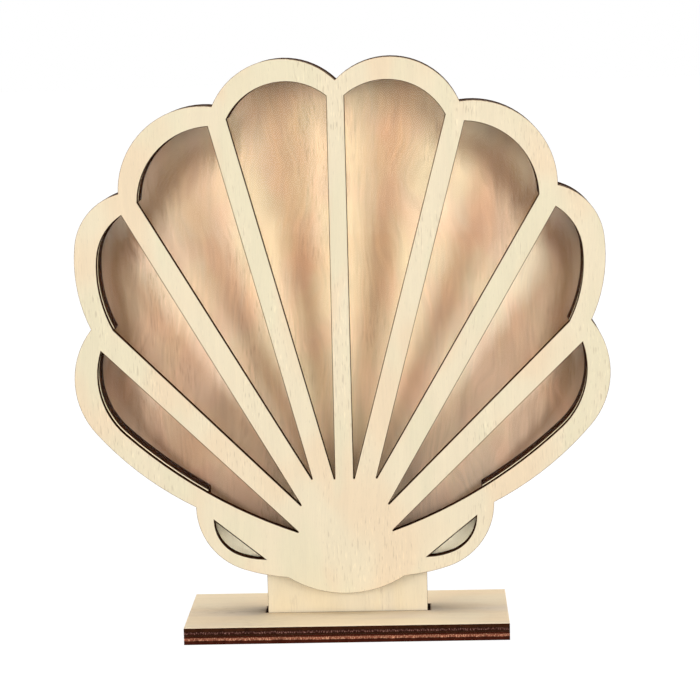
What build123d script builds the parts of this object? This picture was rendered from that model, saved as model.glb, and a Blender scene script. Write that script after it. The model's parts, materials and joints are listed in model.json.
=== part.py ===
from build123d import *

import os
from dataclasses import dataclass
from math import cos, radians, sin

# Seashell display case: a flat, fan-shaped case of laser-cut plywood sheets with a clear pane
# behind its windows, standing by its neck in the slot of a base of two sheets.
# Millimetres. +Z is up, the windows face -Y, and the origin is under the middle of the base.
# The case is drawn flat, as (across, height above the base), and then stood up.

# ---- sheets ----
ply = 3.0                      # every plywood sheet
pane_thickness = 3.0           # the clear pane
spacers = ["spacer_front", "spacer_middle", "spacer_rear"]   # rings behind the pane, one each

# ---- base and neck ----
base_width = 112.4
base_depth = 50.0
neck_width = 56.2
slot_end_gap = 0.6             # between the neck's sides and the slot's ends
slot_side_gap = 0.1            # between the neck's faces and the slot's long walls

# ---- fan: the ribs and notches fan out from a foot on the centre line ----
fan_foot = 21.4                # its height
fan_height = 165.0             # from there to the notch at the top
rib_root = 27.0                # how far up a rib its root width is taken
sweep_tip = 18.9               # how far up the lowest rib the side windows end
tip_rounding = 0.15            # radius that the cut leaves in the windows' tips

# A bulge lists points that an edge's arcs pass: (share of the edge's chord, distance out from it).

# ---- ears and chin, under the fan ----
ear_notch_direction = 70.8     # the notch above an ear, in degrees from upright
ear_notch_distance = 54.9      # and from the fan's foot
ear_bulge = ((0.25, 7.3), (0.66, 7.2))
chin_half_width = 20.4
chin_top = 13.9
chin_bottom = 7.9

# ---- crescent windows, whose straight edges lie on the ears' chords ----
crescent_start = 8.2           # from the notch above the ear
crescent_length = 21.4
crescent_bulge = ((0.23, 3.6), (0.63, 4.05))

# ---- pocket at the bottom of the cavity, hidden by the front panel ----
pocket_wall = 4.05             # wood between the pocket and the notches above the ears
pocket_ledge = 40.0            # height at which the pocket's upright sides start
floor_half_width = 26.8
floor_height = 23.4

# ---- magnets that hold the back panel ----
magnet_diameter = 5.0
magnet_play = 0.05             # between a magnet and its hole, all round


def polar(direction, distance, foot=fan_foot):
    """The point at a direction from upright and a distance from a foot on the centre line."""
    turn = radians(direction)
    return Vector(distance * sin(turn), foot + distance * cos(turn))


@dataclass(frozen=True)
class Rib:
    """A straight, slightly tapered bar between two windows."""

    direction: float           # from upright, in degrees
    foot: float                # height at which it would meet the case's centre line
    shorter: float             # how much nearer than the fan's height the notch at its end lies
    aside: float               # how far outwards of its middle line that notch lies
    walls: tuple               # wood left before the notch, along its inner and its outer edge
    root_width: float
    rim_width: float

    @property
    def notch(self):
        """Distance along the rib to the notch in the outline."""
        return fan_height - self.shorter

    def place(self, along, across):
        """The point at a distance along the rib, and across it, outwards."""
        return polar(self.direction, along, self.foot) + polar(self.direction + 90, across, foot=0)

    def half_width(self, along):
        """Half the rib's width at a distance along it."""
        share = (along - rib_root) / (self.notch - max(self.walls) - rib_root)
        return (self.root_width + (self.rim_width - self.root_width) * share) / 2

    def edge_point(self, along, side):
        """The point at a distance along the rib's inner edge, side -1, or its outer edge, side 1."""
        return self.place(along, side * self.half_width(along))

    def corner(self, side):
        """The point where the rib's inner or outer edge meets the rim."""
        return self.edge_point(self.notch - self.walls[side > 0], side)

    def bar(self):
        """The rib's own face, from its foot to within the rim."""
        end = self.notch - min(self.walls) / 2
        places = [(0, -1), (end, -1), (end, 1), (0, 1)]
        return make_face(Polyline(*[self.edge_point(*place) for place in places], close=True))


@dataclass(frozen=True)
class Lobe:
    """One scallop of the rim, from notch to notch."""

    bulge: tuple               # of the outline, on the chord between its notches
    rim: tuple                 # (share of the lobe's length, the rim's width there), as often


# Two points of the outline's right half.
ear_notch = polar(ear_notch_direction, ear_notch_distance)
chin_shoulder = Vector(chin_half_width, chin_top)

# Ribs and lobes of the right half, from the middle outwards and down.
ribs = [
    Rib(direction=0.0, foot=fan_foot, shorter=0.0, aside=0.0, walls=(5.3, 5.3),
        root_width=6.5, rim_width=6.1),
    Rib(direction=15.0, foot=fan_foot, shorter=2.5, aside=0.2, walls=(5.5, 6.1),
        root_width=7.3, rim_width=6.9),
    Rib(direction=30.3, foot=fan_foot, shorter=16.7, aside=0.5, walls=(5.9, 6.8),
        root_width=7.9, rim_width=7.1),
    Rib(direction=45.5, foot=19.05, shorter=45.0, aside=0.9, walls=(5.7, 7.6),
        root_width=7.4, rim_width=8.35),
]
lobes = [
    Lobe(bulge=((0.5, 11.35),), rim=((0.5, 7.9),)),
    Lobe(bulge=((0.5, 10.1),), rim=((0.5, 8.3),)),
    Lobe(bulge=((0.17, 8.6), (0.43, 11.2)), rim=((0.23, 8.5), (0.53, 7.8))),
    Lobe(bulge=((0.18, 14.3), (0.45, 17.0)), rim=((0.25, 8.1), (0.57, 7.0))),
]


def smooth_arcs(start, middle, end, join=None):
    """An arc from start past middle to end, or to a join and on to end in a second arc."""
    if join is None:
        return [ThreePointArc(start, middle, end)]
    first = ThreePointArc(start, middle, join)
    return [first, TangentArc(join, end, tangent=first % 1)]


def bulging_arcs(start, end, bulge):
    """Arcs between two points, through points at (share of their chord, distance out from it)."""
    chord = end - start
    outwards = Vector(-chord.Y, chord.X).normalized()
    middle, *join = [start + chord * share + outwards * out for share, out in bulge]
    return smooth_arcs(start, middle, end, *join)


def inside(border, share, width):
    """The point a width inside the outline, at a share of one lobe's border."""
    along = border % share
    return border @ share + Vector(along.Y, -along.X) * width


def both_halves(edges):
    """The closed face whose right half's border is given, from the centre line round to it."""
    right = Curve() + edges
    return make_face(right.edges() + mirror(right, about=Plane.YZ).edges())


def lobe_borders():
    """The outline of each lobe of the right half, as a wire from notch to notch."""
    notches = [rib.place(rib.notch, rib.aside) for rib in ribs] + [ear_notch]
    return [Wire(bulging_arcs(start, end, lobe.bulge))
            for lobe, start, end in zip(lobes, notches, notches[1:])]


def shell_outline():
    """The whole outline of the case, without the neck."""
    edges = [edge for border in lobe_borders() for edge in border.edges()]
    edges += bulging_arcs(ear_notch, chin_shoulder, ear_bulge)
    edges += [TangentArc((0, chin_bottom), chin_shoulder, tangent=(1, 0))]
    return both_halves(edges)


def fan_opening():
    """The area inside the rim, which the ribs divide into windows."""
    starts = [rib.corner(1) for rib in ribs]
    tip = ribs[-1].edge_point(sweep_tip, 1)
    ends = [rib.corner(-1) for rib in ribs[1:]] + [tip]
    edges = [Line((0, starts[0].Y), starts[0]), Line(tip, (0, tip.Y))]
    edges += [Line(end, start) for end, start in zip(ends, starts[1:])]
    for lobe, border, start, end in zip(lobes, lobe_borders(), starts, ends):
        crest, *join = [inside(border, share, width) for share, width in lobe.rim]
        edges += smooth_arcs(start, crest, end, *join)
    return both_halves(edges)


def windows():
    """The eight fan windows, each with its tip, the corner nearest the fan's foot, rounded."""
    bars = Sketch() + [rib.bar() for rib in ribs]
    sharp = fan_opening() - bars - mirror(bars, about=Plane.YZ)
    tips = [window.vertices().sort_by_distance((0, fan_foot))[0] for window in sharp.faces()]
    return fillet(tips, tip_rounding)


def crescents():
    """The two crescent windows in the ears."""
    along = (chin_shoulder - ear_notch).normalized()
    outer = ear_notch + along * crescent_start
    inner = outer + along * crescent_length
    right = make_face(bulging_arcs(outer, inner, crescent_bulge) + [Line(inner, outer)])
    return right + mirror(right, about=Plane.YZ)


def cavity():
    """The space inside the spacers: the area inside the rim, and the pocket under it."""
    side = ear_notch.X - pocket_wall
    within_fan = fan_foot + ear_notch_distance
    right = [(floor_half_width, floor_height), (side, pocket_ledge), (side, within_fan)]
    left = [(-across, height) for across, height in reversed(right)]
    return fan_opening() + make_face(Polyline(*right, *left, close=True))


def magnet_discs(radius):
    """The four magnets' circles: two in the rim of the upper lobes and two above the chin."""
    share, width = lobes[1].rim[0]
    high = inside(lobe_borders()[1], share, width / 2)
    low = (chin_shoulder.X, (chin_shoulder.Y + floor_height) / 2)
    right = Sketch() + [Pos(*spot) * Circle(radius) for spot in ((high.X, high.Y), low)]
    return right + mirror(right, about=Plane.YZ)


def stand_up(drawing, front, thickness):
    """A drawing made a sheet on its edge, with its front face at y = front, on the base's level."""
    return Pos(0, front, 2 * ply) * Rot(90, 0, 0) * extrude(drawing, amount=-thickness)


# ---- places front to back ----
depth = len(spacers) * ply
spacers_front = -depth / 2
pane_front = spacers_front - pane_thickness
panel_front = pane_front - ply
rear_front = spacers_front + depth - ply
back_front = spacers_front + depth

# ---- base ----
footprint = Rectangle(base_width, base_depth)
slot = Rectangle(neck_width + 2 * slot_end_gap, depth + 2 * slot_side_gap)

# ---- case ----
outline = shell_outline()
magnet_holes = magnet_discs(magnet_diameter / 2 + magnet_play)
magnets = magnet_discs(magnet_diameter / 2)
neck_top = chin_top + ply      # behind the front panel; the neck's foot is in the slot
neck = Pos(0, (neck_top - ply) / 2) * Rectangle(neck_width, neck_top + ply)
spacer = outline + neck - cavity()

parts = {
    "base_bottom_sheet": extrude(footprint, amount=ply),
    "base_top_sheet": Pos(0, 0, ply) * extrude(footprint - slot, amount=ply),
    "front_panel": stand_up(outline - windows() - crescents(), panel_front, ply),
    "clear_pane": stand_up(outline, pane_front, pane_thickness),
    "case_magnets": stand_up(magnets, rear_front, ply),
    "back_panel": stand_up(outline - magnet_holes, back_front, ply),
    "back_magnets": stand_up(magnets, back_front, ply),
}
for place, name in enumerate(spacers):
    drawing = spacer - magnet_holes if name == spacers[-1] else spacer
    parts[name] = stand_up(drawing, spacers_front + place * ply, ply)

os.makedirs("parts", exist_ok=True)
for name, shape in parts.items():
    export_step(shape, f"parts/{name}.step")
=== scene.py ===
"""Seashell display case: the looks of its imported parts, for Blender 4.5.

The case is a stack of laser-cut plywood sheets round a clear pane, on a base of two sheets.
Metres, in the same frame as the CAD: +Z is up and the windows face -Y.
"""

from __future__ import annotations

import json
import logging
from dataclasses import dataclass
from enum import Enum
from math import cos, pi, radians, sin
from typing import Any, Union

import bmesh
import bpy
from mathutils import Euler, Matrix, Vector
from mathutils.kdtree import KDTree


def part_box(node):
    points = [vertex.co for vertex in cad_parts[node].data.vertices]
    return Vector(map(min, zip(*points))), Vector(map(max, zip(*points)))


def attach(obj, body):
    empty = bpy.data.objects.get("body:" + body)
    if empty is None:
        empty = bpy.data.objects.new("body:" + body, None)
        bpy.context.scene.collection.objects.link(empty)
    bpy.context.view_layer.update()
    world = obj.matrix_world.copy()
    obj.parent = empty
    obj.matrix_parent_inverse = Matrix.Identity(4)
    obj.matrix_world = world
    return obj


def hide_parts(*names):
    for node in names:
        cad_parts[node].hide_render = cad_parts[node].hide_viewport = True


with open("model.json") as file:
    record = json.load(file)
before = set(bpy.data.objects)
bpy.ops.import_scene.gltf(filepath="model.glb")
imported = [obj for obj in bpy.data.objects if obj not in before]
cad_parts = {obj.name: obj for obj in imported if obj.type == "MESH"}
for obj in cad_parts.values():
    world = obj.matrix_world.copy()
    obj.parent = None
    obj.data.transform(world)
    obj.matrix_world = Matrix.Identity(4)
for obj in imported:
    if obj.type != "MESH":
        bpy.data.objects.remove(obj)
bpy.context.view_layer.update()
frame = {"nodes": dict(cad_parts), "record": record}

log = logging.getLogger("seashell_case")

MM = 0.001

Color = tuple[float, float, float, float]
Feed = Union[bpy.types.NodeSocket, float, tuple, None]


def srgb(red: int, green: int, blue: int) -> Color:
    """A colour as it looks on a screen, 0 to 255, as the linear colour that a socket takes."""
    def channel(value: int) -> float:
        """One channel, made linear."""
        share = value / 255
        return share / 12.92 if share <= 0.04045 else ((share + 0.055) / 1.055) ** 2.4
    return channel(red), channel(green), channel(blue), 1.0


# ---------------------------------------------------------------------------------------------
# Node trees
# ---------------------------------------------------------------------------------------------


class NodeBench:
    """A node tree, with short calls for the nodes that the finishes are made of."""

    def __init__(self, tree: bpy.types.NodeTree) -> None:
        """Takes over a tree, which is filled node by node."""
        self.tree = tree

    def node(self, kind: str, *feeds: Feed, **settings: Any) -> bpy.types.Node:
        """Adds a node.

        Args:
            kind: the node's type, without its ShaderNode prefix.
            feeds: a link or a value for each input in order; None leaves one as it is.
            settings: the node's own properties.

        Returns:
            The new node.
        """
        made = self.tree.nodes.new("ShaderNode" + kind)
        for name, value in settings.items():
            setattr(made, name, value)
        for socket, feed in zip(made.inputs, feeds):
            self.fill(socket, feed)
        return made

    def fill(self, socket: bpy.types.NodeSocket, feed: Feed) -> None:
        """Links an output to a socket, or sets the socket's own value."""
        if isinstance(feed, bpy.types.NodeSocket):
            self.tree.links.new(feed, socket)
        elif feed is not None:
            socket.default_value = feed

    def fill_named(self, node: bpy.types.Node, feeds: dict[str, Feed]) -> None:
        """Fills some of a node's inputs by their names."""
        for name, feed in feeds.items():
            self.fill(node.inputs[name], feed)

    def math(self, operation: str, *feeds: Feed, clamp: bool = False) -> bpy.types.NodeSocket:
        """The result of a sum on single numbers."""
        return self.node("Math", *feeds, operation=operation, use_clamp=clamp).outputs[0]

    def stretch(self, place: bpy.types.NodeSocket, factors: tuple) -> bpy.types.NodeSocket:
        """A place with each of its coordinates multiplied by a factor."""
        return self.node("VectorMath", place, factors, operation="MULTIPLY").outputs[0]

    def noise(self, place: bpy.types.NodeSocket, detail: float = 2.0,
              roughness: float = 0.5) -> bpy.types.NodeSocket:
        """Soft noise of about 0.3 to 0.7 with features about one unit of the place across."""
        made = self.node("TexNoise")
        self.fill_named(made, {"Vector": place, "Scale": 1.0, "Detail": detail,
                               "Roughness": roughness})
        return made.outputs[0]

    def ease(self, value: bpy.types.NodeSocket, low: float, high: float,
             start: float = 0.0, end: float = 1.0) -> bpy.types.NodeSocket:
        """A smooth step from start, where the value is at low, to end, where it is at high."""
        made = self.node("MapRange", value, low, high, start, end,
                         interpolation_type="SMOOTHSTEP")
        return made.outputs[0]

    def near_step(self, value: bpy.types.NodeSocket,
                  limit: bpy.types.NodeSocket) -> bpy.types.NodeSocket:
        """A step from nothing to one as a share of a sheet's depth passes a limit."""
        return self.ease(self.math("SUBTRACT", value, limit), -0.04, 0.04)

    def near_line(self, value: bpy.types.NodeSocket,
                  line: bpy.types.NodeSocket) -> bpy.types.NodeSocket:
        """One where a share of a sheet's depth is on a line, and nothing beside it."""
        off = self.math("ABSOLUTE", self.math("SUBTRACT", value, line))
        return self.ease(off, 0.01, 0.05, 1.0, 0.0)

    def mix(self, amount: Feed, first: Feed, second: Feed,
            blend: str = "MIX") -> bpy.types.NodeSocket:
        """One colour laid over another.

        Args:
            amount: how much of the second shows.
            first: the colour underneath.
            second: the colour on top.
            blend: how the second is laid on.

        Returns:
            The mixed colour.
        """
        made = self.node("Mix", amount, data_type="RGBA", blend_type=blend)
        self.fill(made.inputs[6], first)
        self.fill(made.inputs[7], second)
        return made.outputs[2]

    def shade(self, color: Feed, level: bpy.types.NodeSocket) -> bpy.types.NodeSocket:
        """A colour made darker or lighter by a level around one."""
        spread = self.node("CombineColor", level, level, level).outputs[0]
        return self.mix(1.0, color, spread, "MULTIPLY")


class GroupBench(NodeBench):
    """A shader node group: an effect that several finishes share."""

    def __init__(self, name: str, inputs: dict[str, str], outputs: dict[str, str]) -> None:
        """Makes the group with its named inputs and outputs.

        Args:
            name: the group's name.
            inputs: the kind of each input socket, by its name.
            outputs: the kind of each output socket, by its name.
        """
        super().__init__(bpy.data.node_groups.new(name, "ShaderNodeTree"))
        for in_out, sockets in (("INPUT", inputs), ("OUTPUT", outputs)):
            for socket, kind in sockets.items():
                self.tree.interface.new_socket(name=socket, in_out=in_out,
                                               socket_type="NodeSocket" + kind)
        self.source = self.tree.nodes.new("NodeGroupInput")
        self.sink = self.tree.nodes.new("NodeGroupOutput")

    def take(self, name: str) -> bpy.types.NodeSocket:
        """The group's input of that name."""
        return self.source.outputs[name]

    def give(self, name: str, value: bpy.types.NodeSocket) -> None:
        """Sets the group's output of that name."""
        self.tree.links.new(value, self.sink.inputs[name])


DASH = srgb(186, 146, 98)       # the darkest short strokes of the grain
TOASTED, BURNT = srgb(188, 142, 98), srgb(46, 25, 8)    # the margin of a cut, and its line
GLUE = srgb(28, 14, 10)         # the charred glue between the plies
WHITE = (1.0, 1.0, 1.0, 1.0)


def veneer_grain() -> bpy.types.NodeTree:
    """The face of a birch veneer: fibres, broad bands, soft patches and short pores.

    Returns:
        The node group. Its Place is in millimetres, with the grain along Z.
    """
    group = GroupBench(
        "veneer_grain",
        {"Place": "Vector", "Pale": "Color", "Warm": "Color", "Cool": "Color",
         "Fibres": "Float", "Bands": "Float", "Pores": "Float"},
        {"Color": "Color", "Height": "Float"})
    place = group.take("Place")
    sway = group.noise(group.stretch(place, (0.03, 0.03, 0.022)), 1.0)
    sway = group.node("CombineXYZ", group.math("MULTIPLY", sway, 5.0)).outputs[0]
    swayed = group.node("VectorMath", place, sway, operation="ADD").outputs[0]
    fibres = group.noise(group.stretch(swayed, (2.7, 2.7, 0.11)), 3.0, 0.62)
    bands = group.noise(group.stretch(swayed, (0.33, 0.33, 0.014)), 2.0)
    warm = group.noise(group.stretch(place, (0.045, 0.045, 0.03)), 1.0)
    cool = group.noise(group.stretch(place, (0.06, 0.07, 0.024)), 1.0)
    patches = group.ease(group.noise(group.stretch(place, (0.05, 0.05, 0.022)), 1.0),
                         0.47, 0.6, 0.12, 1.0)
    dashes = group.noise(group.stretch(swayed, (2.1, 2.1, 0.24)), 1.0)
    dashes = group.math("ADD", group.ease(dashes, 0.6, 0.7, 0.0, 0.8),
                        group.ease(dashes, 0.3, 0.4, -1.0, 0.0))
    dashes = group.math("MULTIPLY", dashes, patches)
    pores = group.noise(group.stretch(swayed, (4.2, 4.2, 0.42)), 0.0)
    pores = group.math("MULTIPLY", group.ease(pores, 0.74, 0.84), group.take("Pores"))

    color = group.mix(group.ease(warm, 0.42, 0.62), group.take("Pale"), group.take("Warm"))
    color = group.mix(group.ease(cool, 0.5, 0.66, 0.0, 0.8), color, group.take("Cool"))
    fine = group.math("MULTIPLY_ADD", dashes, 0.7,
                      group.math("MULTIPLY", group.math("SUBTRACT", fibres, 0.5), 0.6))
    fine = group.math("MULTIPLY", fine, group.take("Fibres"))
    broad = group.math("MULTIPLY", group.math("SUBTRACT", bands, 0.5), group.take("Bands"))
    level = group.math("ADD", group.math("ADD", fine, broad), 1.0)
    level = group.math("SUBTRACT", level, pores)
    color = group.shade(color, level)
    dark = group.math("MULTIPLY", group.math("MULTIPLY", dashes, -1.0, clamp=True), 0.16)
    group.give("Color", group.mix(dark, color, DASH))
    group.give("Height", group.math("SUBTRACT", fibres, pores))
    return group.tree


def laser_toast() -> bpy.types.NodeTree:
    """What the laser does to a face beside its cut: a dark line, and a toasted margin.

    Returns:
        The node group. Its Char is 1 or more at the cut and fades to 0 on the clean face.
    """
    group = GroupBench(
        "laser_toast", {"Color": "Color", "Place": "Vector", "Char": "Float"},
        {"Color": "Color", "Burn": "Float"})
    flicker = group.noise(group.stretch(group.take("Place"), (1.3, 1.3, 1.3)), 2.0, 0.7)
    flicker = group.math("MULTIPLY", group.math("SUBTRACT", flicker, 0.5), 0.7)
    char = group.take("Char")
    uneven = group.math("MULTIPLY", char, group.math("ADD", flicker, 1.0))
    color = group.mix(group.ease(uneven, 0.0, 0.5, 0.0, 0.45), group.take("Color"), TOASTED)
    burn = group.ease(uneven, 0.45, 0.95)
    color = group.mix(burn, color, BURNT)
    group.give("Color", color)
    group.give("Burn", burn)
    return group.tree


def cut_edge() -> bpy.types.NodeTree:
    """A laser-cut edge of plywood: charred outer plies, a core of speckled end grain.

    Returns:
        The node group. Its Depth runs from 0 to 1 through the sheet, and its Place is in
        millimetres, squeezed through the sheet so that the laser's marks run that way.
    """
    group = GroupBench(
        "cut_edge",
        {"Place": "Vector", "Depth": "Float", "Core Low": "Float", "Core High": "Float",
         "Outer": "Color", "Core": "Color", "Speckle": "Color", "Speckles": "Float"},
        {"Color": "Color", "Height": "Float"})
    place, depth = group.take("Place"), group.take("Depth")
    marks = group.noise(group.stretch(place, (3.0, 3.0, 3.0)), 2.0, 0.7)
    drift = group.noise(group.stretch(place, (0.5, 0.5, 0.5)), 1.0)
    shift = group.math("MULTIPLY", group.math("SUBTRACT", drift, 0.5), 0.16)
    depth = group.math("ADD", depth, shift)
    low, high = group.take("Core Low"), group.take("Core High")
    core = group.math("MULTIPLY", group.near_step(depth, low), group.near_step(high, depth))
    glue = group.math("ADD", group.near_line(depth, low), group.near_line(depth, high),
                      clamp=True)
    grains = group.noise(group.stretch(place, (3.2, 3.2, 3.2)), 1.0, 0.8)
    grains = group.math("MULTIPLY", group.ease(grains, 0.51, 0.62), group.take("Speckles"))

    core_color = group.mix(grains, group.take("Core"), group.take("Speckle"))
    color = group.mix(core, group.take("Outer"), core_color)
    level = group.math("ADD", group.math("MULTIPLY", marks, 1.1), 0.45)
    tone = group.math("ADD", group.math("MULTIPLY", drift, 1.0), 0.5)
    color = group.shade(color, group.math("MULTIPLY", level, tone))
    color = group.mix(group.math("MULTIPLY", glue, 0.7), color, GLUE)
    group.give("Color", color)
    group.give("Height", group.math("SUBTRACT", marks, glue))
    return group.tree


def handling_marks() -> bpy.types.NodeTree:
    """Fine scratches and faint smears on a smooth surface.

    Returns:
        The node group. Its Marks vary around 0.5 over the surface, and its Place is in
        millimetres.
    """
    group = GroupBench("handling_marks", {"Place": "Vector"}, {"Marks": "Float"})
    place = group.take("Place")
    smears = group.noise(group.stretch(place, (0.12, 0.12, 0.2)), 3.0, 0.6)
    scratches = group.noise(group.stretch(place, (9.0, 9.0, 0.4)), 2.0, 0.6)
    group.give("Marks", group.math("MULTIPLY_ADD", scratches, 0.4,
                                   group.math("MULTIPLY", smears, 0.6)))
    return group.tree


FAN_FOOT = 27.4             # the height that the fan's ribs come from, in millimetres
RIB_SPACING = 15.2          # degrees between the ribs
RIM_CURVE_ANGLE, RIM_CURVE_REACH = 75.0, 170.0      # what the rim's curve is scaled by
RIM_RADIUS = ((0, 160), (7.5, 166), (14, 157), (22, 152), (29, 143), (37, 135), (44, 116),
              (49, 110), (55, 99), (62, 74), (68, 51), (75, 40))    # degrees, millimetres
# Painted shade that the veneer is multiplied by, standing in for the lamps' shadows of the ribs
# and the shade inside the case: painted shadow midway between the ribs, painted light beside
# them, painted shade under the rim and near the foot. Middle is by the centre line, and outer
# is at the sides.
RIB_SHADOW_MIDDLE, RIB_SHADOW_OUTER = (0.57, 0.39, 0.3, 1.0), (0.55, 0.415, 0.365, 1.0)
LIT_BESIDE_MIDDLE, LIT_BESIDE_OUTER = (0.84, 0.725, 0.65, 1.0), (0.92, 0.86, 0.89, 1.0)
SHADE_UNDER_RIM = (0.27, 0.165, 0.105, 1.0)
SHADE_AT_FOOT = (0.78, 0.65, 0.58, 1.0)
OLIVE, RUSSET = (0.985, 1.012, 0.99, 1.0), (1.02, 0.985, 0.99, 1.0)     # faint broad tinges


def fan_painted_shade() -> bpy.types.NodeTree:
    """Painted shade inside the case: light beside the ribs, their shadows in between, shade at
    the rim.

    Returns:
        The node group. Its Place is in millimetres from the fan's foot, and its output is the
        painted shade, a colour that the veneer is multiplied by.
    """
    group = GroupBench("fan_painted_shade", {"Place": "Vector"}, {"Painted_Shade": "Color"})
    place = group.take("Place")
    across, _, up = group.node("SeparateXYZ", place).outputs
    angle = group.math("ABSOLUTE", group.math("ARCTAN2", across, up))
    angle = group.math("MULTIPLY", angle, 180 / pi)
    flat = group.stretch(place, (1.0, 0.0, 1.0))
    reach = group.node("VectorMath", flat, operation="LENGTH").outputs["Value"]

    curve = group.node("FloatCurve", 1.0, group.math("DIVIDE", angle, RIM_CURVE_ANGLE))
    points = curve.mapping.curves[0].points
    for point, (degrees, radius) in zip(points, (RIM_RADIUS[0], RIM_RADIUS[-1])):
        point.location = degrees / RIM_CURVE_ANGLE, radius / RIM_CURVE_REACH
    for degrees, radius in RIM_RADIUS[1:-1]:
        points.new(degrees / RIM_CURVE_ANGLE, radius / RIM_CURVE_REACH)
    curve.mapping.update()
    rim = group.math("MULTIPLY", curve.outputs[0], RIM_CURVE_REACH)
    inside_rim = group.math("SUBTRACT", rim, reach)

    sway = group.noise(group.stretch(place, (0.05, 0.05, 0.02)), 2.0)
    sway = group.node("CombineXYZ", group.math("MULTIPLY", sway, 26.0)).outputs[0]
    swayed = group.node("VectorMath", place, sway, operation="ADD").outputs[0]
    smears = group.noise(group.stretch(swayed, (0.22, 0.22, 0.028)), 4.0, 0.62)
    smears = group.math("SUBTRACT", smears, 0.5)
    clouds = group.noise(group.stretch(place, (0.06, 0.06, 0.04)), 2.0)
    clouds = group.math("SUBTRACT", clouds, 0.5)
    brushed = group.noise(group.stretch(swayed, (0.7, 0.7, 0.05)), 2.0, 0.6)
    brushed = group.math("SUBTRACT", brushed, 0.5)

    # Degrees from the rib on the inner side and from the one on the outer side.
    within = group.math("MINIMUM", angle, 3.999 * RIB_SPACING)
    past_rib = group.math("MODULO", within, RIB_SPACING)
    stray = group.math("MULTIPLY", smears, 6.0)
    past_inner = group.math("ADD", past_rib, stray)
    past_outer = group.math("ADD", group.math("SUBTRACT", RIB_SPACING, past_rib), stray)
    # Painted light beside the ribs, where the lamps shine past them.
    lit_beside_outer = group.math("MULTIPLY", group.ease(past_outer, 1.8, 7.4, 1.0, 0.0),
                              group.ease(angle, 10.0, 48.0, 1.0, 0.0))
    beside = group.math("MAXIMUM", group.ease(past_inner, 1.8, 7.6, 1.0, 0.0), lit_beside_outer)
    # The ribs' painted shadow, midway between them and strongest partway down the windows.
    rib_shadow = group.math("MULTIPLY", group.ease(reach, 46.0, 98.0, 0.25, 1.0),
                        group.ease(reach, 105.0, 150.0, 1.0, 0.86))
    rib_shadow = group.math("MULTIPLY", rib_shadow, group.math("SUBTRACT", 1.0, beside))

    outer = group.ease(angle, 6.0, 40.0)
    pale = group.mix(outer, LIT_BESIDE_MIDDLE, LIT_BESIDE_OUTER)
    rib_shadow_tone = group.mix(outer, RIB_SHADOW_MIDDLE, RIB_SHADOW_OUTER)
    tone = group.mix(rib_shadow, pale, rib_shadow_tone)
    # Painted shade under the rim.
    from_rim = group.math("MULTIPLY_ADD", smears, 14.0, inside_rim)
    rim_shade = group.math("MULTIPLY", group.ease(from_rim, 4.0, 19.0, 1.0, 0.0),
                       group.ease(from_rim, -3.0, 8.0, 0.45, 1.0))
    rim_shade = group.math("MULTIPLY", rim_shade, group.ease(angle, 0.0, 26.0, 0.2, 1.0))
    rim_shade = group.math("MULTIPLY", rim_shade, group.ease(angle, 46.0, 58.0, 1.0, 0.7))
    tone = group.mix(rim_shade, tone, SHADE_UNDER_RIM)
    # Painted shade, darker and browner near the foot, where the windows narrow.
    foot_shade = group.math("MULTIPLY", group.ease(reach, 64.0, 84.0, 1.0, 0.0),
                      group.math("SUBTRACT", 1.0, beside))
    foot_shade = group.math("MULTIPLY", foot_shade, group.ease(angle, 6.0, 20.0, 0.5, 1.0))
    foot_shade = group.math("MULTIPLY", foot_shade, group.ease(across, -42.0, 42.0, 1.0, 0.45))
    tone = group.mix(foot_shade, tone, group.mix(1.0, tone, SHADE_AT_FOOT, "MULTIPLY"))
    level = group.math("MULTIPLY_ADD", smears, 0.5,
                       group.math("MULTIPLY_ADD", clouds, 0.4, 1.0))
    level = group.math("MULTIPLY_ADD", brushed, 0.34, level)
    tone = group.shade(tone, level)
    hue = group.noise(group.stretch(place, (0.075, 0.075, 0.045)), 1.0)
    tinge = group.mix(group.ease(hue, 0.4, 0.6), OLIVE, RUSSET)
    tone = group.mix(1.0, tone, tinge, "MULTIPLY")
    outside = group.ease(inside_rim, -14.0, -9.0, 1.0, 0.0)
    tone = group.mix(outside, tone, WHITE)
    group.give("Painted_Shade", tone)
    return group.tree


class SharedGroups:
    """The node groups that the finishes share, each built once."""

    def __init__(self) -> None:
        """Builds the groups."""
        self.veneer_grain = veneer_grain()
        self.laser_toast = laser_toast()
        self.cut_edge = cut_edge()
        self.handling_marks = handling_marks()
        self.fan_painted_shade = fan_painted_shade()


# ---------------------------------------------------------------------------------------------
# Finishes
# ---------------------------------------------------------------------------------------------


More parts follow.
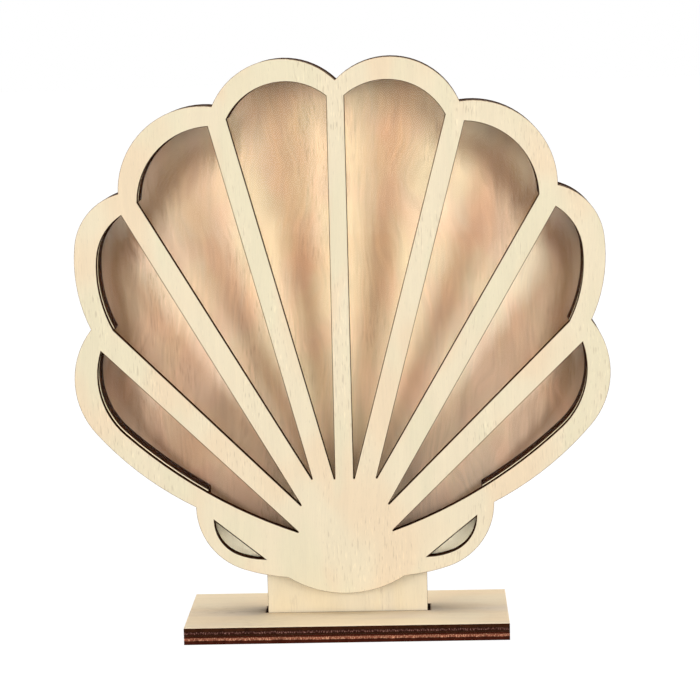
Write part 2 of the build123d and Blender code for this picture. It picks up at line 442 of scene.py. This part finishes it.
class MaterialBench(NodeBench):
    """A material's node tree, with its Principled BSDF and its place in millimetres."""

    def __init__(self, name: str) -> None:
        """Makes the material, with nothing but its output and its shader."""
        self.material = bpy.data.materials.new(name)
        self.material.use_nodes = True
        super().__init__(self.material.node_tree)
        self.tree.nodes.clear()
        self.output = self.node("OutputMaterial")
        self.shader = self.node("BsdfPrincipled")
        self.show(self.shader.outputs[0])

    def show(self, surface: bpy.types.NodeSocket) -> None:
        """Makes a shader the material's surface."""
        self.tree.links.new(surface, self.output.inputs["Surface"])

    def set(self, **feeds: Feed) -> None:
        """Fills the Principled BSDF's inputs: Base_Color stands for Base Color."""
        self.fill_named(self.shader, {name.replace("_", " "): feed
                                      for name, feed in feeds.items()})

    def place(self, turn: tuple = (0.0, 0.0, 0.0), shift: tuple = (0.0, 0.0, 0.0),
              squeeze: tuple = (1.0, 1.0, 1.0)) -> bpy.types.NodeSocket:
        """The point on the piece in millimetres.

        Args:
            turn: the pattern's turn about each axis, in degrees.
            shift: how far along the pattern the piece lies, in millimetres.
            squeeze: a factor for each axis, applied before the turn.

        Returns:
            The mapped place.
        """
        where = self.node("TexCoord").outputs["Object"]
        scale = tuple(factor / MM for factor in squeeze)
        turned = tuple(radians(angle) for angle in turn)
        return self.node("Mapping", where, shift, turned, scale).outputs[0]

    def group(self, tree: bpy.types.NodeTree, **feeds: Feed) -> bpy.types.Node:
        """Places a node group and fills its inputs by their names."""
        made = self.node("Group", node_tree=tree)
        self.fill_named(made, {name.replace("_", " "): feed for name, feed in feeds.items()})
        return made

    def bump(self, height: bpy.types.NodeSocket, depth: float,
             strength: float) -> bpy.types.NodeSocket:
        """The normal of a surface whose height varies.

        Args:
            height: the height, where 1 is the full depth.
            depth: the full depth, in millimetres.
            strength: how much of it shows.

        Returns:
            The normal.
        """
        made = self.node("Bump")
        self.fill_named(made, {"Strength": strength, "Distance": depth * MM, "Height": height})
        return made.outputs[0]


class Grain(Enum):
    """Which way a sheet's grain runs, as the turn that brings the pattern's grain there."""

    UP = (0.0, 0.0, 0.0)
    ACROSS = (0.0, -90.0, 0.0)


class Stack(Enum):
    """The axis that a sheet's thickness lies along, as its place in a vector."""

    FRONT_TO_BACK = 1
    BOTTOM_TO_TOP = 2


class Char(Enum):
    """How a cut edge came out of the laser.

    Its outer plies, core and speckles, and where the core lies through the sheet.
    """

    DARK = (srgb(60, 32, 19), srgb(62, 32, 26), srgb(158, 116, 104), 0.2, 0.5)
    RED = (srgb(70, 29, 18), srgb(142, 82, 62), srgb(232, 172, 136), 0.43, 0.8)
    BROWN = (srgb(38, 17, 4), srgb(58, 29, 14), srgb(128, 86, 58), 0.34, 0.68)


class Veneer(Enum):
    """The birch veneers: each one's pale, warm and cool wood."""

    CREAM = (srgb(244, 229, 198), srgb(245, 223, 190), srgb(239, 228, 196))
    # A lighter copy of the cream veneer: painted light for the spacer recessed behind the front
    # panel, whose neck and crescents lie in shade.
    PAINTED_LIGHT = (srgb(252, 238, 208), srgb(252, 235, 200), srgb(249, 235, 208))
    HONEY = (srgb(245, 226, 193), srgb(244, 221, 186), srgb(239, 220, 194))


@dataclass(frozen=True)
class PlywoodFinish:
    """The two materials of a birch plywood sheet: its faces and its cut edges."""

    name: str
    grain: Grain
    stack: Stack
    char: Char
    veneer: Veneer
    shift: tuple
    fibres: float = 0.16
    bands: float = 0.1
    pores: float = 0.12

    def face_material(self, groups: SharedGroups, with_painted_shade: bool = False) -> bpy.types.Material:
        """The veneer of the faces, toasted beside the cuts.

        Args:
            groups: the shared node groups.
            with_painted_shade: whether the face is the one inside the case, which carries the
                fan's painted shade.

        Returns:
            The material.
        """
        bench = MaterialBench(self.name + ("_painted_shade" if with_painted_shade else "_face"))
        place = bench.place(turn=self.grain.value, shift=self.shift)
        pale, warm, cool = self.veneer.value
        veneer = bench.group(groups.veneer_grain, Place=place, Pale=pale, Warm=warm, Cool=cool,
                             Fibres=self.fibres, Bands=self.bands, Pores=self.pores)
        color = veneer.outputs["Color"]
        # The face inside the case has the fan's painted shade multiplied into its veneer.
        if with_painted_shade:
            from_foot = bench.place(shift=(0.0, 0.0, -FAN_FOOT))
            fan_shade = bench.group(groups.fan_painted_shade, Place=from_foot)
            color = bench.mix(1.0, color, fan_shade.outputs["Painted_Shade"], "MULTIPLY")
        char = bench.node("Attribute", attribute_name=CHAR_ATTRIBUTE).outputs["Fac"]
        toast = bench.group(groups.laser_toast, Color=color, Place=place, Char=char)
        rough = bench.ease(toast.outputs["Burn"], 0.0, 1.0, 0.62, 0.85)
        bench.set(Base_Color=toast.outputs["Color"], Roughness=rough,
                  Specular_IOR_Level=0.15,
                  Normal=bench.bump(veneer.outputs["Height"], 0.03, 0.5))
        return bench.material

    def edge_material(self, groups: SharedGroups, low: float, high: float) -> bpy.types.Material:
        """The charred plies of the cut edges.

        Args:
            groups: the shared node groups.
            low: where the sheet starts along its stack's axis, in metres.
            high: where it ends.

        Returns:
            The material.
        """
        bench = MaterialBench(self.name + "_edge")
        axis = self.stack.value
        squeeze = tuple(0.3 if n == axis else 1.0 for n in range(3))
        place = bench.place(shift=self.shift, squeeze=squeeze)
        where = bench.node("TexCoord").outputs["Object"]
        along = bench.node("SeparateXYZ", where).outputs[axis]
        depth = bench.node("MapRange", along, low, high).outputs[0]
        outer, core, speckle, core_low, core_high = self.char.value
        edge = bench.group(groups.cut_edge, Place=place, Depth=depth, Core_Low=core_low,
                           Core_High=core_high, Outer=outer, Core=core, Speckle=speckle,
                           Speckles=0.85)
        bench.set(Base_Color=edge.outputs["Color"], Roughness=0.8, Specular_IOR_Level=0.0,
                  Normal=bench.bump(edge.outputs["Height"], 0.06, 0.6))
        return bench.material


@dataclass(frozen=True)
class AcrylicFinish:
    """Clear low-glare acrylic, with a few faint smears."""

    name: str = "clear_acrylic"
    ior: float = 1.18
    fan_start: tuple = (37.0, 46.0)         # height of the fan windows' lower ends, mm
    in_fan: Color = srgb(231, 230, 229)     # lamp light that each face lets into the fan

    def material(self, groups: SharedGroups) -> bpy.types.Material:
        """The pane's material, which lets lamp light straight through."""
        bench = MaterialBench(self.name)
        marks = bench.group(groups.handling_marks, Place=bench.place()).outputs["Marks"]
        rough = bench.ease(marks, 0.45, 0.8, 0.0, 0.04)
        bench.set(Base_Color=srgb(254, 255, 254), Roughness=rough, IOR=self.ior,
                  Transmission_Weight=1.0)
        shadow = bench.node("LightPath").outputs["Is Shadow Ray"]
        up = bench.node("SeparateXYZ", bench.place()).outputs["Z"]
        passes = bench.mix(bench.ease(up, *self.fan_start), srgb(252, 252, 252), self.in_fan)
        clear = bench.node("BsdfTransparent", passes)
        bench.show(bench.node("MixShader", shadow, bench.shader.outputs[0],
                              clear.outputs[0]).outputs[0])
        return bench.material


@dataclass(frozen=True)
class PaintedShadeEdgeFinish:
    """The pane's cut edge, painted dark brown: the shade and the wood's reflection that its
    clear edge shows.
    """

    name: str = "painted_shade_acrylic_edge"
    # The edge's painted shade and reflection of the wood.
    color: Color = srgb(74, 54, 34)

    def material(self, groups: SharedGroups) -> bpy.types.Material:
        """The material of the pane's outer edge."""
        bench = MaterialBench(self.name)
        marks = bench.group(groups.handling_marks, Place=bench.place()).outputs["Marks"]
        # Painted shade and reflection of the wood beside the edge, varied by the marks.
        edge_shade = bench.mix(bench.ease(marks, 0.35, 0.7), self.color, srgb(104, 82, 56))
        bench.set(Base_Color=edge_shade, Roughness=bench.ease(marks, 0.3, 0.75, 0.45, 0.7),
                  Specular_IOR_Level=0.1, Normal=bench.bump(marks, 0.02, 0.3))
        return bench.material


@dataclass(frozen=True)
class NickelFinish:
    """Bright nickel plating, finely scratched."""

    name: str = "nickel_plate"
    color: Color = srgb(206, 203, 197)

    def material(self, groups: SharedGroups) -> bpy.types.Material:
        """The magnets' material."""
        bench = MaterialBench(self.name)
        marks = bench.group(groups.handling_marks, Place=bench.place()).outputs["Marks"]
        dull = bench.mix(bench.ease(marks, 0.35, 0.7), self.color, srgb(178, 174, 168))
        bench.set(Base_Color=dull, Metallic=1.0,
                  Roughness=bench.ease(marks, 0.3, 0.75, 0.16, 0.42),
                  Normal=bench.bump(marks, 0.01, 0.3))
        return bench.material


# ---------------------------------------------------------------------------------------------
# Pieces
# ---------------------------------------------------------------------------------------------

CHAR_ATTRIBUTE = "char"
# The slots of a piece's materials: faces, cut edges, and the back panel's front with the fan's
# painted shade.
FACE_SLOT, EDGE_SLOT, PAINTED_SHADE_SLOT = 0, 1, 2
MERGE_DISTANCE = 1e-6       # in metres
FLAT = 0.9                  # a face that turns this much to its sheet's axis is no cut edge
RING_REACH = 1.5            # a ring's corners lie nearer than this to their cut, in millimetres
CRESCENTS_TOP = 45.0        # a height between the crescents and the tops of the fan's windows
SCORCHED = 12.0             # how many times as much char the crescents' rims carry
SHARP_ANGLE = radians(25)


def body_of_node(node: str) -> str:
    """The body that carries a CAD node."""
    bodies = frame["record"]["behaviour"]["bodies"]
    return next(body for body, nodes in bodies.items() if node in nodes)


def merged_copy(node: str) -> bmesh.types.BMesh:
    """A CAD node's mesh, copied, with its triangles joined at their corners."""
    mesh = bmesh.new()
    mesh.from_mesh(frame["nodes"][node].data)
    bmesh.ops.remove_doubles(mesh, verts=mesh.verts, dist=MERGE_DISTANCE)
    return mesh


def finished_piece(name: str, mesh: bmesh.types.BMesh, materials: list[bpy.types.Material],
                   node: str) -> bpy.types.Object:
    """Makes a built mesh the piece that stands for a CAD node, and reports it.

    Args:
        name: the piece's name.
        mesh: the built mesh, which is freed.
        materials: its materials, in the order of its faces' indices.
        node: the CAD node that it replaces.

    Returns:
        The new object, riding on the node's body.
    """
    for edge in mesh.edges:
        edge.smooth = edge.calc_face_angle(0.0) < SHARP_ANGLE
    for face in mesh.faces:
        face.smooth = True
    data = bpy.data.meshes.new(name)
    mesh.to_mesh(data)
    mesh.free()
    for material in materials:
        data.materials.append(material)
    piece = bpy.data.objects.new(name, data)
    bpy.context.scene.collection.objects.link(piece)
    body = body_of_node(node)
    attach(piece, body)
    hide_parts(node)
    log.info("%s: %d faces, on body %s", name, len(data.polygons), body)
    return piece


@dataclass
class FlatSheet:
    """A flat sheet of the case or the base, whose outline is a CAD node's."""

    node: str
    stack: Stack
    eased: float = 0.05        # how far its sharp rims are eased back, in millimetres
    drawn_in: float = 0.0      # how far each face lies inside the CAD sheet, in millimetres
    # The char beside its outline on its low and its high face, as a share of that at the holes.
    outline_char: tuple = (0.45, 0.45)
    scorched_below: float = 0.0     # holes wholly under this height, in millimetres, burned more

    @property
    def low(self) -> float:
        """Where the sheet starts along its stack's axis."""
        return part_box(self.node)[0][self.stack.value]

    @property
    def high(self) -> float:
        """Where the sheet ends along its stack's axis."""
        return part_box(self.node)[1][self.stack.value]

    @property
    def middle(self) -> float:
        """The middle of the sheet along its stack's axis, which takes time to find."""
        return (self.low + self.high) / 2

    def flat_faces(self, mesh: bmesh.types.BMesh, side: int) -> list[bmesh.types.BMFace]:
        """The sheet's low face, side -1, or its high face, side 1."""
        return [face for face in mesh.faces if face.normal[self.stack.value] * side > FLAT]

    def build(self, rings: tuple) -> bmesh.types.BMesh:
        """Builds the sheet with eased rims and with rings round its faces that carry char.

        Args:
            rings: the width of each ring in millimetres, and the char at its inner side.

        Returns:
            The mesh, with its cut edges in the edge slot.
        """
        mesh = merged_copy(self.node)
        char = mesh.verts.layers.float.new(CHAR_ATTRIBUTE)
        for vert in mesh.verts:
            vert[char] = 1.0
        for face in mesh.faces:
            flat = abs(face.normal[self.stack.value]) > FLAT
            face.material_index = FACE_SLOT if flat else EDGE_SLOT
        for side in (-1, 1):
            flat = self.flat_faces(mesh, side)
            for width, level in rings:
                bmesh.ops.inset_region(mesh, faces=flat, thickness=width * MM, depth=0.0,
                                       use_boundary=True, use_even_offset=True)
                for vert in {vert for face in flat for vert in face.verts}:
                    vert[char] = level
            self.shift(mesh, self.rim_verts(mesh, side), -side * self.eased)
            if self.drawn_in:
                level_verts = {vert for face in self.side_faces(mesh, side)
                               for vert in face.verts}
                self.shift(mesh, list(level_verts), -side * self.drawn_in)
        walls = self.walls(mesh)
        outline = max(walls, key=lambda wall: max(vert.co.x for vert in wall))
        beside = self.verts_beside(mesh, outline)
        middle = self.middle
        for vert in outline | beside:
            share = self.outline_char[vert.co[self.stack.value] > middle]
            if vert in beside or not share:
                vert[char] *= share
        for wall in walls:
            if max(vert.co.z for vert in wall) < self.scorched_below * MM:
                for vert in wall | self.verts_beside(mesh, wall):
                    vert[char] *= SCORCHED
        return mesh

    def walls(self, mesh: bmesh.types.BMesh) -> list[set]:
        """The corners of each cut wall: that of the outline, and one for each hole."""
        left = {face for face in mesh.faces if face.material_index == EDGE_SLOT}
        walls = []
        while left:
            wall, ends = set(), [left.pop()]
            while ends:
                face = ends.pop()
                wall.update(face.verts)
                near = {other for edge in face.edges for other in edge.link_faces} & left
                left -= near
                ends.extend(near)
            walls.append(wall)
        return walls

    def verts_beside(self, mesh: bmesh.types.BMesh, wall: set) -> set:
        """The corners of the rings that follow one cut wall."""
        tree = KDTree(len(wall))
        for index, vert in enumerate(wall):
            tree.insert(vert.co, index)
        tree.balance()
        return {vert for vert in mesh.verts
                if vert not in wall and tree.find(vert.co)[2] < RING_REACH * MM}

    def side_faces(self, mesh: bmesh.types.BMesh, side: int) -> list[bmesh.types.BMFace]:
        """The faces of one side of the sheet, with its rings."""
        axis, middle = self.stack.value, self.middle
        return [face for face in mesh.faces
                if face.material_index != EDGE_SLOT
                and (face.calc_center_median()[axis] - middle) * side > 0]

    def rim_verts(self, mesh: bmesh.types.BMesh, side: int) -> list[bmesh.types.BMVert]:
        """The corners where one side of the sheet meets its cut edges."""
        verts = {vert for face in self.side_faces(mesh, side) for vert in face.verts}
        return [vert for vert in verts
                if any(face.material_index == EDGE_SLOT for face in vert.link_faces)]

    def shift(self, mesh: bmesh.types.BMesh, verts: list[bmesh.types.BMVert],
              amount: float) -> None:
        """Moves corners along the stack's axis by an amount in millimetres."""
        move = Vector((0.0, 0.0, 0.0))
        move[self.stack.value] = amount * MM
        bmesh.ops.translate(mesh, verts=verts, vec=move)


@dataclass
class PlywoodSheet(FlatSheet):
    """A laser-cut plywood sheet, toasted along its cuts."""

    grain: Grain = Grain.UP
    char: Char = Char.BROWN
    veneer: Veneer = Veneer.CREAM
    shift_of_pattern: tuple = (0.0, 0.0, 0.0)
    rings: tuple = ((0.13, 1.0), (0.08, 0.3), (0.22, 0.0))

    def finish(self) -> PlywoodFinish:
        """The sheet's own cut of the veneer."""
        return PlywoodFinish(name=self.node + "_ply", grain=self.grain, stack=self.stack,
                             char=self.char, veneer=self.veneer,
                             shift=self.shift_of_pattern)

    def make(self, groups: SharedGroups) -> bpy.types.Object:
        """Builds the sheet and gives it its faces' and edges' materials."""
        finish = self.finish()
        materials = [finish.face_material(groups),
                     finish.edge_material(groups, self.low, self.high)]
        return finished_piece(self.node + "_sheet", self.build(self.rings), materials,
                              self.node)


@dataclass
class BackPanel(PlywoodSheet):
    """The back panel, whose front shows through the windows and carries painted shade there."""

    def make(self, groups: SharedGroups) -> bpy.types.Object:
        """Builds the panel, with the fan's painted shade on its front."""
        panel = super().make(groups)
        finish = self.finish()
        panel.data.materials.append(finish.face_material(groups, with_painted_shade=True))
        middle = self.middle
        for face in panel.data.polygons:
            if face.material_index == FACE_SLOT and face.center.y < middle:
                face.material_index = PAINTED_SHADE_SLOT
        return panel


@dataclass
class AcrylicPane(FlatSheet):
    """The clear pane between the front panel and the spacers."""

    def make(self, groups: SharedGroups) -> bpy.types.Object:
        """Builds the pane and gives it its clear faces and its edge, painted with shade."""
        materials = [AcrylicFinish().material(groups), PaintedShadeEdgeFinish().material(groups)]
        mesh = self.build(rings=((0.1, 0.0),))
        return finished_piece("acrylic_pane", mesh, materials, self.node)


@dataclass
class MagnetSet:
    """Four disc magnets, pressed into the holes of one sheet."""

    node: str
    radius: float = 2.5
    thickness: float = 3.0
    sunk: float = 0.08          # how far the discs lie below the sheet's faces
    rim: float = 0.25           # their rounded rim
    places: tuple = ((62.69, 174.21), (20.4, 24.65))    # across and height, right half
    sides: int = 48

    def make(self, groups: SharedGroups) -> bpy.types.Object:
        """Builds the discs, plated."""
        low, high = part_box(self.node)
        middle = (low.y + high.y) / 2
        mesh = bmesh.new()
        for across, height in self.places:
            for side in (-1, 1):
                self.add_disc(mesh, Vector((side * across * MM, middle, height * MM)))
        return finished_piece(self.node + "_discs", mesh, [NickelFinish().material(groups)],
                              self.node)

    def add_disc(self, mesh: bmesh.types.BMesh, centre: Vector) -> None:
        """Adds a disc with rounded rims, its faces to the front and the back."""
        depth = (self.thickness - 2 * self.sunk) * MM
        made = bmesh.ops.create_cone(mesh, cap_ends=True, segments=self.sides,
                                     radius1=self.radius * MM, radius2=self.radius * MM,
                                     depth=depth)
        verts = made["verts"]
        rims = list({edge for vert in verts for edge in vert.link_edges
                     if abs(edge.verts[0].co.z - edge.verts[1].co.z) < depth / 2})
        turn = Euler((radians(90), 0.0, 0.0)).to_matrix()
        bmesh.ops.rotate(mesh, verts=verts, cent=(0.0, 0.0, 0.0), matrix=turn)
        bmesh.ops.translate(mesh, verts=verts, vec=centre)
        bmesh.ops.bevel(mesh, geom=rims, offset=self.rim * MM, segments=3, profile=0.5,
                        affect="EDGES", material=-1)


# ---------------------------------------------------------------------------------------------
# Sub-assemblies
# ---------------------------------------------------------------------------------------------


@dataclass
class Stand:
    """The base: two sheets, the upper one with the slot that the case stands in."""

    def make(self, groups: SharedGroups) -> None:
        """Builds both sheets."""
        PlywoodSheet("base_bottom_sheet", Stack.BOTTOM_TO_TOP, grain=Grain.ACROSS,
                     char=Char.RED, veneer=Veneer.HONEY, outline_char=(1.0, 1.0),
                     shift_of_pattern=(13.0, 210.0, 40.0)).make(groups)
        # The top sheet's wide rings darken the slot's margin: char, and painted shade of the gap
        # that the neck stands in.
        PlywoodSheet("base_top_sheet", Stack.BOTTOM_TO_TOP, grain=Grain.ACROSS,
                     char=Char.DARK, veneer=Veneer.HONEY, outline_char=(1.0, 0.0),
                     eased=0.15, rings=((0.2, 1.0), (0.3, 0.5), (0.5, 0.0)),
                     shift_of_pattern=(61.0, 140.0, 90.0)).make(groups)


@dataclass
class ShellCase:
    """The fan-shaped case: front panel, pane, three spacers and their magnets."""

    step: float = 83.0          # how far apart on the veneer two sheets were cut
    first: float = 82.0         # and where on it the front panel was, both in millimetres

    def make(self, groups: SharedGroups) -> None:
        """Builds the case from its front to its rear spacer."""
        sheets = ["front_panel", "spacer_front", "spacer_middle", "spacer_rear"]
        for place, node in enumerate(sheets):
            # The spacer behind the front panel takes the lighter veneer, painted light for its
            # recessed neck and crescents.
            veneer = Veneer.PAINTED_LIGHT if node == "spacer_front" else Veneer.CREAM
            scorched_below = CRESCENTS_TOP if node == "front_panel" else 0.0
            PlywoodSheet(node, Stack.FRONT_TO_BACK, veneer=veneer,
                         scorched_below=scorched_below,
                         shift_of_pattern=(place * self.step + self.first, 60.0, 350.0)
                         ).make(groups)
        AcrylicPane("clear_pane", Stack.FRONT_TO_BACK, drawn_in=0.03).make(groups)
        MagnetSet("case_magnets").make(groups)


@dataclass
class BackDoor:
    """The back panel, which comes away with its own magnets."""

    def make(self, groups: SharedGroups) -> None:
        """Builds the panel and its magnets."""
        BackPanel("back_panel", Stack.FRONT_TO_BACK,
                  shift_of_pattern=(450.0, 20.0, 310.0)).make(groups)
        MagnetSet("back_magnets").make(groups)


# ---------------------------------------------------------------------------------------------
# Studio
# ---------------------------------------------------------------------------------------------


AIM = Vector((0.0, 0.0, 0.1))      # what the lights face


@dataclass(frozen=True)
class Softbox:
    """A square soft light aimed at the middle of the case."""

    name: str
    azimuth: float              # degrees, 0 in front of the windows and 90 to their right
    elevation: float
    size: float                 # metres
    level: float                # the light that it adds to a surface facing it, 1 being full
    distance: float = 1.5
    mirrored: bool = True       # whether glossy surfaces show it

    def make(self) -> None:
        """Hangs the light."""
        turn, tilt = radians(self.azimuth), radians(self.elevation)
        away = Vector((sin(turn) * cos(tilt), -cos(turn) * cos(tilt), sin(tilt)))
        data = bpy.data.lights.new(self.name, "AREA")
        data.shape = "SQUARE"
        data.size = self.size
        data.energy = self.level * pi ** 2 * self.distance ** 2
        lamp = bpy.data.objects.new(self.name, data)
        lamp.location = AIM + away * self.distance
        lamp.rotation_euler = away.to_track_quat("Z", "Y").to_euler()
        lamp.visible_camera = False
        lamp.visible_glossy = self.mirrored
        bpy.context.scene.collection.objects.link(lamp)


@dataclass(frozen=True)
class Camera:
    """The photograph's viewpoint, found from the corners of the base and the outline."""

    place: tuple = (29.21, -857.38, 217.57)     # millimetres
    turn: tuple = (82.0798, 1.352, 1.581)       # degrees about X, Y and Z
    focal: float = 2481.4                       # in pixels of the 700-pixel-wide photograph
    photo_width: float = 700.0
    sensor: float = 36.0

    def make(self) -> None:
        """Sets the camera up and makes it the scene's."""
        data = bpy.data.cameras.new("photo_camera")
        data.sensor_width = self.sensor
        data.lens = self.focal / self.photo_width * self.sensor
        data.clip_start, data.clip_end = 0.01, 100.0
        camera = bpy.data.objects.new("photo_camera", data)
        camera.location = Vector(self.place) * MM
        camera.rotation_euler = Euler([radians(angle) for angle in self.turn])
        bpy.context.scene.collection.objects.link(camera)
        bpy.context.scene.camera = camera


@dataclass(frozen=True)
class Studio:
    """A plain white floor and backdrop, and soft light."""

    ambient: float = 0.13
    shadow_share: float = 0.1  # how much of the floor's own light and shadow the camera sees
    floor_size: float = 12.0
    floor_gap: float = 0.0001
    floor_glow: float = 1.12   # a little over white, so that no horizon shows
    softboxes: tuple = (
        Softbox("key_left", azimuth=-42, elevation=8, size=0.6, level=0.27),
        Softbox("key_right", azimuth=42, elevation=8, size=0.6, level=0.27),
        Softbox("front_fill", azimuth=0, elevation=6, size=0.9, level=0.23, mirrored=False),
        Softbox("overhead", azimuth=0, elevation=90, size=1.9, level=1.24),
        Softbox("rear_fill", azimuth=150, elevation=12, size=1.0, level=0.45, mirrored=False),
    )

    def seen_directly(self, bench: NodeBench) -> bpy.types.NodeSocket:
        """One for rays that show the backdrop: from the camera, a gloss or through the pane."""
        path = bench.node("LightPath")
        glossy = bench.math("MAXIMUM", path.outputs["Is Camera Ray"],
                            path.outputs["Is Glossy Ray"])
        return bench.math("MAXIMUM", glossy, path.outputs["Is Transmission Ray"])

    def make_backdrop(self) -> None:
        """The world: white where it is seen, and even light elsewhere."""
        world = bpy.data.worlds.new("studio_white")
        world.use_nodes = True
        world.node_tree.nodes.clear()
        bench = NodeBench(world.node_tree)
        level = bench.math("MULTIPLY_ADD", self.seen_directly(bench), 1.0 - self.ambient,
                           self.ambient)
        light = bench.node("Background", WHITE, level)
        bench.node("OutputWorld", light.outputs[0])
        bpy.context.scene.world = world

    def floor_material(self) -> bpy.types.Material:
        """White where it is seen, with a little of the object's shadow kept."""
        bench = MaterialBench("studio_floor")
        bench.set(Base_Color=srgb(190, 190, 190), Roughness=0.9, Specular_IOR_Level=0.0)
        glow = bench.node("Emission", WHITE, self.floor_glow)
        share = bench.math("MULTIPLY", self.seen_directly(bench), 1.0 - self.shadow_share)
        bench.show(bench.node("MixShader", share, bench.shader.outputs[0],
                              glow.outputs[0]).outputs[0])
        return bench.material

    def make_floor(self) -> None:
        """The floor that the base stands on."""
        mesh = bmesh.new()
        bmesh.ops.create_grid(mesh, x_segments=1, y_segments=1, size=self.floor_size / 2)
        bmesh.ops.translate(mesh, verts=mesh.verts, vec=(0.0, 0.0, -self.floor_gap))
        data = bpy.data.meshes.new("studio_floor")
        mesh.to_mesh(data)
        mesh.free()
        data.materials.append(self.floor_material())
        floor = bpy.data.objects.new("studio_floor", data)
        bpy.context.scene.collection.objects.link(floor)

    def make(self) -> None:
        """Sets up the view, the backdrop, the floor and the lights."""
        bpy.context.scene.view_settings.view_transform = "Standard"
        self.make_backdrop()
        self.make_floor()
        for softbox in self.softboxes:
            softbox.make()


# ---------------------------------------------------------------------------------------------


def main() -> None:
    """Builds the case, its base and the studio round them."""
    logging.basicConfig(level=logging.INFO, format="%(name)s: %(message)s")
    Camera().make()
    Studio().make()
    groups = SharedGroups()
    Stand().make(groups)
    ShellCase().make(groups)
    BackDoor().make(groups)


if __name__ == "__main__":
    main()
